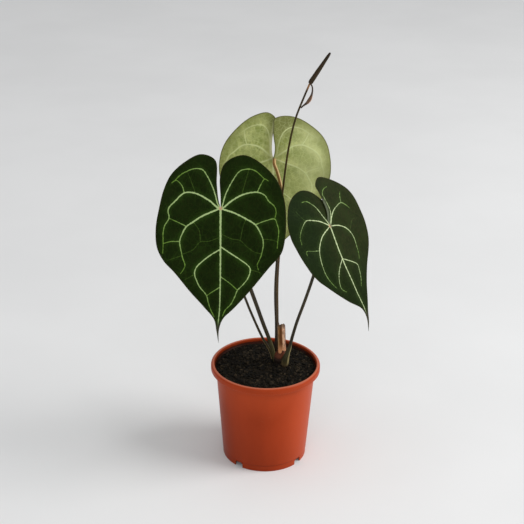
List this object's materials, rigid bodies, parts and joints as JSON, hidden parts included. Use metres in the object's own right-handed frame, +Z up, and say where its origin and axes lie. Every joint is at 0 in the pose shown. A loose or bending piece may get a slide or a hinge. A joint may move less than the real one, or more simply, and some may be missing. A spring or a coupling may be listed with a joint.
{
  "type": "potted anthurium clarinervium",
  "caption": "Young velvet-leaved anthurium with heart-shaped leaves and a flower spike, standing in a plain round nursery pot of soil.",
  "frame": {"origin": "pot's axis at the foot it stands on, within a few millimetres of the whole plant's middle", "axes": "+Z up along the pot's axis, -Y towards the viewer of the picture, +X to the viewer's right"},
  "size_m": [0.2201, 0.1699, 0.4551],
  "materials": {
    "pot_plastic": "satin moulded terracotta-coloured plastic",
    "potting_mix": "moist crumbly peat and bark",
    "stem_skin": "ringed, dull olive and brown",
    "petiole_skin": "smooth dull olive brown",
    "leaf_velvet": "velvety near-black green with pale sunken veins",
    "leaf_underside": "dull pale olive with lighter raised veins",
    "dry_sheath": "papery dry brown, pale at the edges",
    "spadix_skin": "fine diamond pattern, dull dark brown",
    "spathe_skin": "dull brown green with a pinkish edge",
    "bud_skin": "smooth dull olive"
  },
  "bodies": {
    "root": {"pot": "pot_plastic", "potting_soil": "potting_mix", "short_stem": "stem_skin", "petiole_front_left": "petiole_skin", "petiole_right": "petiole_skin", "petiole_back": "petiole_skin", "flower_stalk": "petiole_skin", "bud_stalk": "petiole_skin", "leaf_front_left": "leaf_velvet", "leaf_right": "leaf_velvet", "leaf_back": "leaf_underside", "dry_sheath": "dry_sheath", "spadix": "spadix_skin", "spathe": "spathe_skin", "flower_bud": "bud_skin"}
  },
  "joints": []
}
